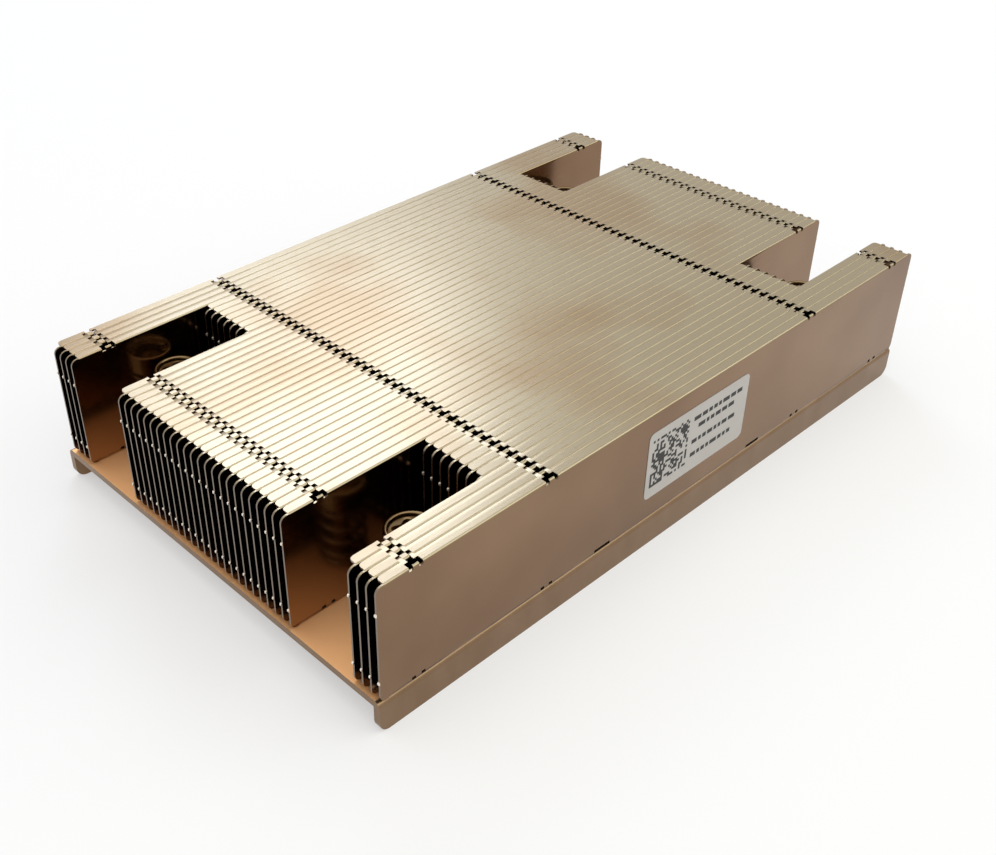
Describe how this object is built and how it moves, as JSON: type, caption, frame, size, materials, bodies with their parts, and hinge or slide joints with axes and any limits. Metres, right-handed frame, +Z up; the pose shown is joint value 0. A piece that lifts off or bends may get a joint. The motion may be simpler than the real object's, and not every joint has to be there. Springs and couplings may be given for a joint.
{
  "type": "passive server cpu heatsink",
  "caption": "Low passive heatsink of zipped sheet fins on a folded base plate, with a contact pad below and spring screws in pockets at the corners.",
  "frame": {"origin": "centre of the fin stack and base plate, at the level of the rails' lower edges", "axes": "+X along the fins, +Y from the labelled side towards the side the flanges are folded to, +Z up away from the processor"},
  "size_m": [0.1262, 0.0783, 0.0255],
  "materials": {
    "fin_sheet": "rolled sheet, satin, slightly warm tint",
    "base_sheet": "rolled sheet, satin, slightly warm tint",
    "copper": "milled copper",
    "screw_steel": "nickel plated steel",
    "spring_steel": "plated spring wire",
    "label_film": "smooth white label film"
  },
  "bodies": {
    "heatsink": {"fin_01": "fin_sheet", "fin_02": "fin_sheet", "fin_03": "fin_sheet", "fin_04": "fin_sheet", "fin_05": "fin_sheet", "fin_06": "fin_sheet", "fin_07": "fin_sheet", "fin_08": "fin_sheet", "fin_09": "fin_sheet", "fin_10": "fin_sheet", "fin_11": "fin_sheet", "fin_12": "fin_sheet", "fin_13": "fin_sheet", "fin_14": "fin_sheet", "fin_15": "fin_sheet", "fin_16": "fin_sheet", "fin_17": "fin_sheet", "fin_18": "fin_sheet", "fin_19": "fin_sheet", "fin_20": "fin_sheet", "fin_21": "fin_sheet", "fin_22": "fin_sheet", "fin_23": "fin_sheet", "fin_24": "fin_sheet", "fin_25": "fin_sheet", "fin_26": "fin_sheet", "fin_27": "fin_sheet", "fin_28": "fin_sheet", "fin_29": "fin_sheet", "fin_30": "fin_sheet", "fin_31": "fin_sheet", "fin_32": "fin_sheet", "fin_33": "fin_sheet", "fin_34": "fin_sheet", "fin_35": "fin_sheet", "fin_36": "fin_sheet", "fin_37": "fin_sheet", "fin_38": "fin_sheet", "fin_39": "fin_sheet", "fin_40": "fin_sheet", "fin_41": "fin_sheet", "fin_42": "fin_sheet", "fin_43": "fin_sheet", "fin_44": "fin_sheet", "fin_45": "fin_sheet", "fin_46": "fin_sheet", "base_plate": "base_sheet", "contact_pad": "copper", "label": "label_film", "spring_front_right": "spring_steel", "spring_front_left": "spring_steel", "spring_rear_right": "spring_steel", "spring_rear_left": "spring_steel"},
    "screw_front_right": {"screw_front_right": "screw_steel"},
    "screw_front_left": {"screw_front_left": "screw_steel"},
    "screw_rear_right": {"screw_rear_right": "screw_steel"},
    "screw_rear_left": {"screw_rear_left": "screw_steel"}
  },
  "joints": [
    {"name": "screw_front_right_press", "type": "slide", "parent": "heatsink", "child": "screw_front_right", "axis": [0, 0, -1], "range_m": [0, 0.004], "stiffness_N_per_m": 300, "springref_m": -0.001, "deforming": ["spring_front_right"]},
    {"name": "screw_front_left_press", "type": "slide", "parent": "heatsink", "child": "screw_front_left", "axis": [0, 0, -1], "range_m": [0, 0.004], "stiffness_N_per_m": 300, "springref_m": -0.001, "deforming": ["spring_front_left"]},
    {"name": "screw_rear_right_press", "type": "slide", "parent": "heatsink", "child": "screw_rear_right", "axis": [0, 0, -1], "range_m": [0, 0.004], "stiffness_N_per_m": 300, "springref_m": -0.001, "deforming": ["spring_rear_right"]},
    {"name": "screw_rear_left_press", "type": "slide", "parent": "heatsink", "child": "screw_rear_left", "axis": [0, 0, -1], "range_m": [0, 0.004], "stiffness_N_per_m": 300, "springref_m": -0.001, "deforming": ["spring_rear_left"]}
  ]
}
